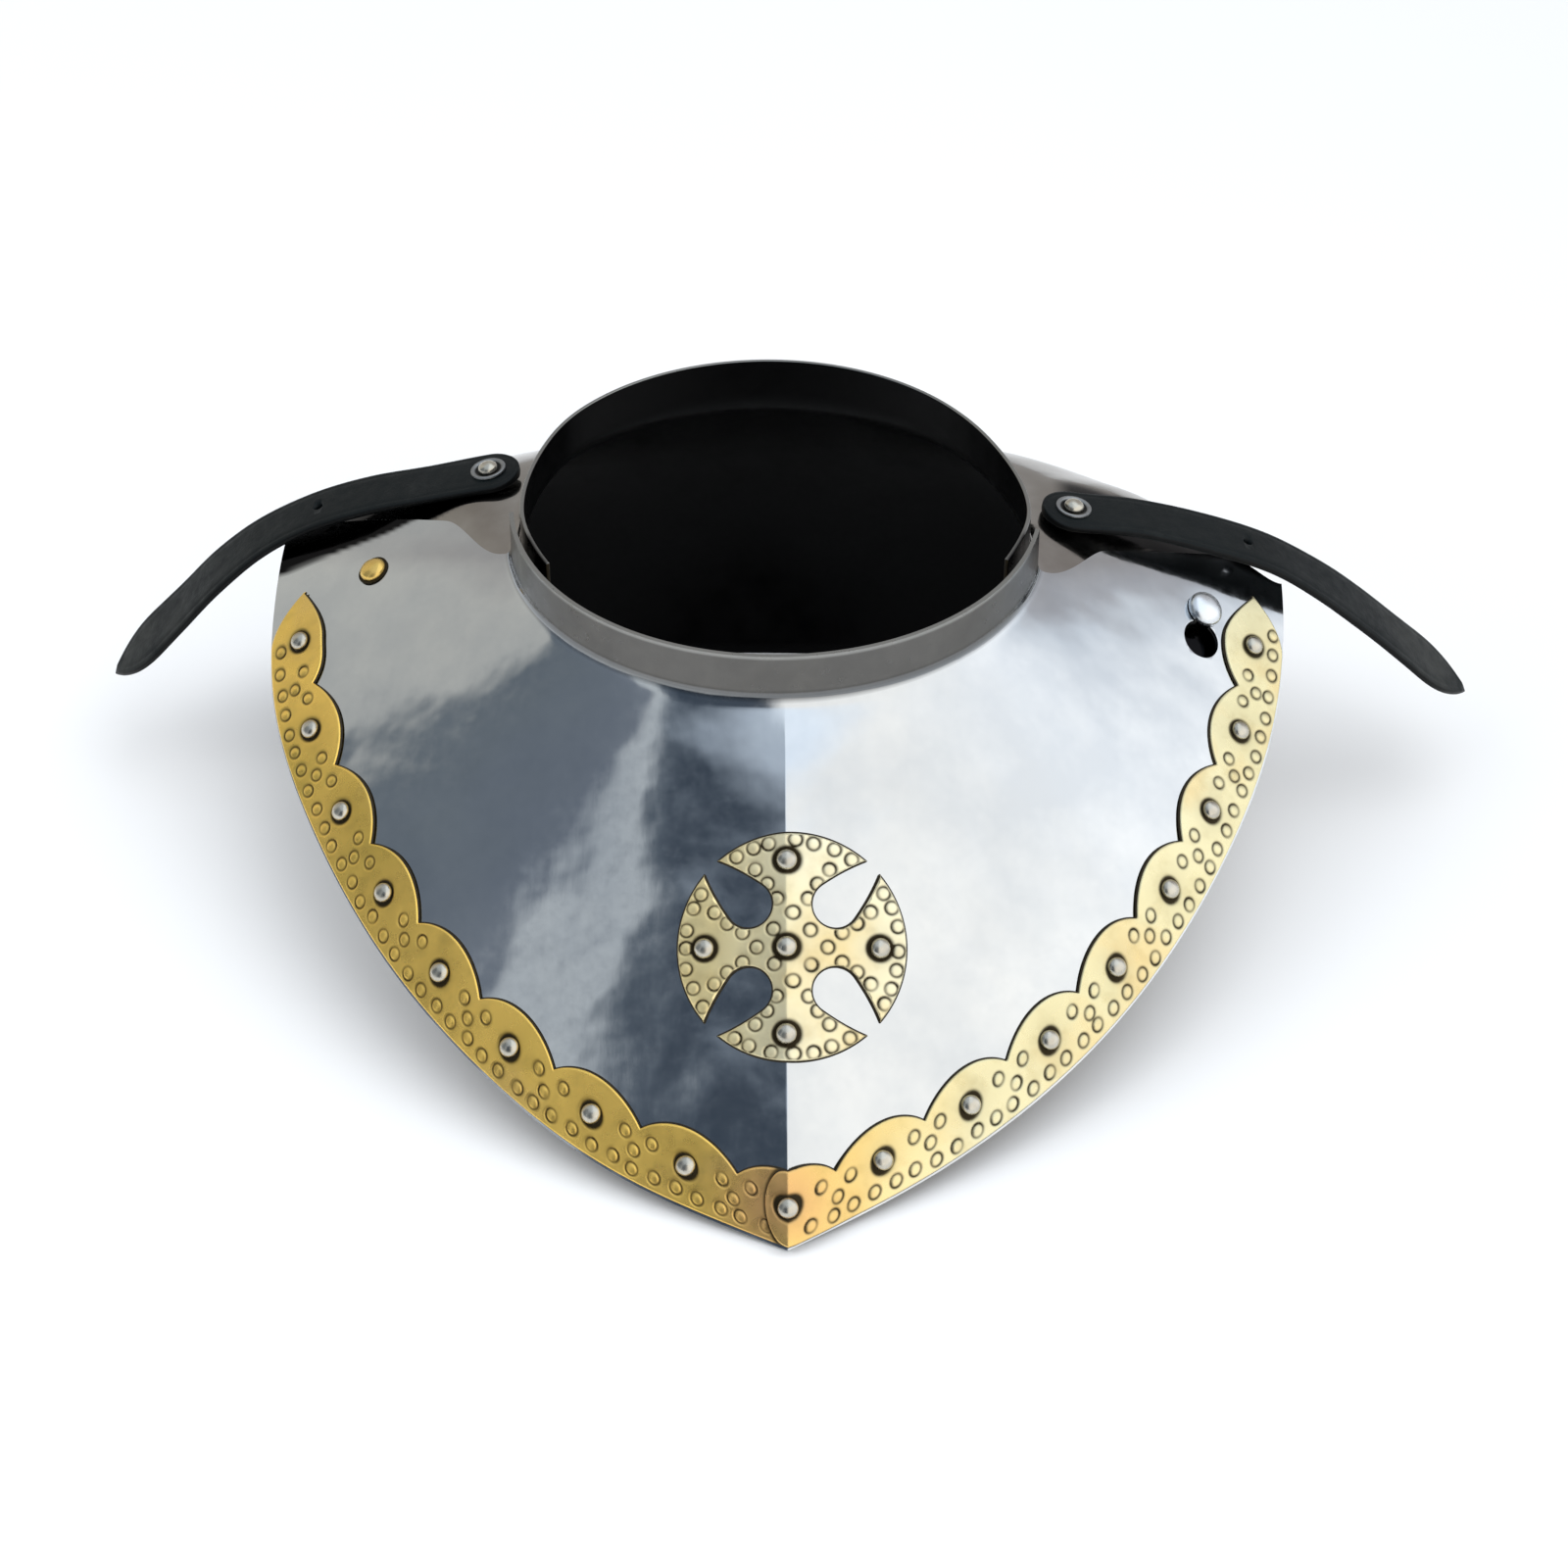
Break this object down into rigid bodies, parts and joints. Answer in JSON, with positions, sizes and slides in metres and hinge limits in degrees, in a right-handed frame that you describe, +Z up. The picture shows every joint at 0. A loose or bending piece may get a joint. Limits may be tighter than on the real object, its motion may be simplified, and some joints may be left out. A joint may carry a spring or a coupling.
{
  "type": "steel gorget",
  "caption": "Two-plate neck armour with a round collar, a pointed breast plate, a scalloped brass border, a pierced brass roundel and two leather shoulder straps.",
  "frame": {"origin": "on the resting surface, under the middle of the whole part's box", "axes": "+Z up through the collar, -Y the way the wearer faces, +X to the wearer's left"},
  "size_m": [0.4034, 0.2798, 0.1144],
  "materials": {
    "plate_steel": "polished steel with soft waviness, painted black inside",
    "trim_brass": "polished brass, lightly toned, ring-punched",
    "rivet_steel": "domed steel heads, polished",
    "washer_steel": "dull grey steel",
    "strap_leather": "smooth black leather with a faint sheen"
  },
  "bodies": {
    "back": {"back_plate": "plate_steel", "pivot_rivet": "trim_brass", "lock_stud": "rivet_steel", "strap_left": "strap_leather", "strap_right": "strap_leather", "strap_washer_left": "washer_steel", "strap_washer_right": "washer_steel", "strap_rivet_left": "rivet_steel", "strap_rivet_right": "rivet_steel"},
    "front": {"front_plate": "plate_steel", "border_left": "trim_brass", "border_right": "trim_brass", "roundel": "trim_brass", "border_rivet_left_1": "rivet_steel", "border_rivet_left_2": "rivet_steel", "border_rivet_left_3": "rivet_steel", "border_rivet_left_4": "rivet_steel", "border_rivet_left_5": "rivet_steel", "border_rivet_left_6": "rivet_steel", "border_rivet_left_7": "rivet_steel", "border_rivet_left_8": "rivet_steel", "border_rivet_right_1": "rivet_steel", "border_rivet_right_2": "rivet_steel", "border_rivet_right_3": "rivet_steel", "border_rivet_right_4": "rivet_steel", "border_rivet_right_5": "rivet_steel", "border_rivet_right_6": "rivet_steel", "border_rivet_right_7": "rivet_steel", "border_rivet_right_8": "rivet_steel", "border_rivet_point": "rivet_steel", "roundel_rivet_middle": "rivet_steel", "roundel_rivet_top": "rivet_steel", "roundel_rivet_right": "rivet_steel", "roundel_rivet_bottom": "rivet_steel", "roundel_rivet_left": "rivet_steel"}
  },
  "joints": [
    {"name": "front_swing", "type": "hinge", "parent": "back", "child": "front", "pos_m": [-0.11899, 0.04946, 0.08705], "axis": [0.3666, 0.1843, -0.912], "range_deg": [0, 42]}
  ]
}
